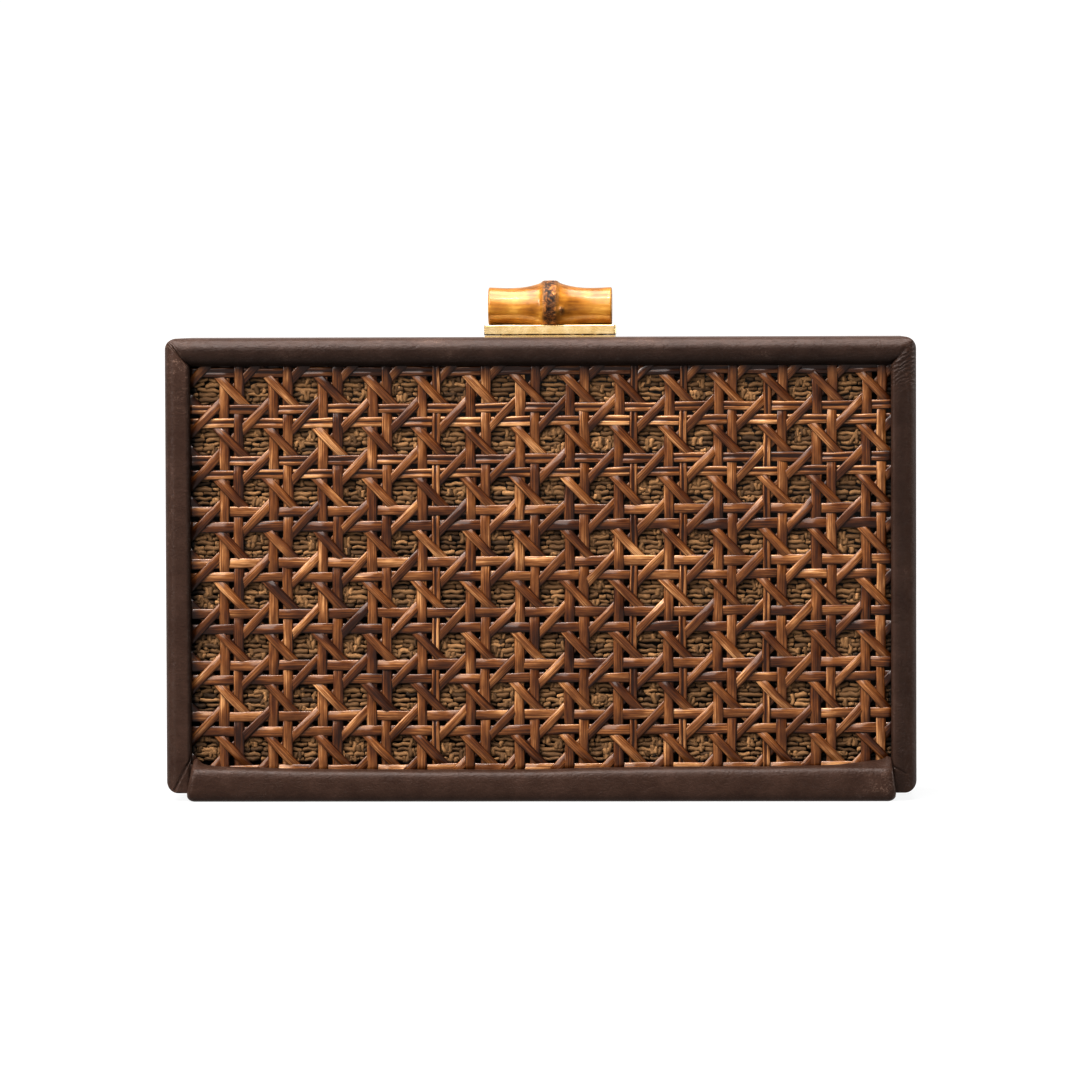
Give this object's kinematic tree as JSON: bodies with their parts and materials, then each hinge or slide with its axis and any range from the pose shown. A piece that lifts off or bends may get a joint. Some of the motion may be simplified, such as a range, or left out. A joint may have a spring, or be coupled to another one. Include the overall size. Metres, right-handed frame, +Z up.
{
  "type": "box clutch bag",
  "caption": "Hard clamshell clutch with cane-webbing panels in a leather-wrapped frame, hinged along the bottom and closed by a bamboo flip clasp on top.",
  "frame": {"origin": "on the floor, under the middle of the closed bag", "axes": "+Z up, -Y is the front that the picture shows, +X to the right seen from the front"},
  "size_m": [0.19, 0.057, 0.1319],
  "materials": {
    "poplar": "bare",
    "leather": "satin",
    "cane": "satin",
    "reed": "matte",
    "lining": "matte",
    "gold": "brushed",
    "bamboo": "gloss lacquer"
  },
  "bodies": {
    "back_half": {"back_frame": "poplar", "back_top_leather": "leather", "back_left_leather": "leather", "back_right_leather": "leather", "back_bottom_roll": "leather", "back_cane_panel": "cane", "back_reed_mat": "reed", "back_panel_board": "poplar", "back_lining": "lining", "hinge_back_leaf": "gold", "hinge_pin": "gold", "back_hinge_screws": "gold", "clasp_base": "gold", "clasp_base_screws": "gold", "clasp_pin": "gold"},
    "front_half": {"front_frame": "poplar", "front_top_leather": "leather", "front_left_leather": "leather", "front_right_leather": "leather", "front_bottom_roll": "leather", "front_cane_panel": "cane", "front_reed_mat": "reed", "front_panel_board": "poplar", "front_lining": "lining", "hinge_front_leaf": "gold", "front_hinge_screws": "gold", "keeper_plate": "gold", "keeper_screws": "gold"},
    "clasp": {"clasp_lever": "gold", "clasp_bamboo": "bamboo", "bamboo_screws": "gold"}
  },
  "joints": [
    {"name": "lid_hinge", "type": "hinge", "parent": "back_half", "child": "front_half", "pos_m": [0, 0, 0.0015], "axis": [1, 0, 0], "range_deg": [0, 95]},
    {"name": "clasp_hinge", "type": "hinge", "parent": "back_half", "child": "clasp", "pos_m": [0.0021, 0.0066, 0.11905], "axis": [-1, 0, 0], "range_deg": [0, 80]}
  ]
}
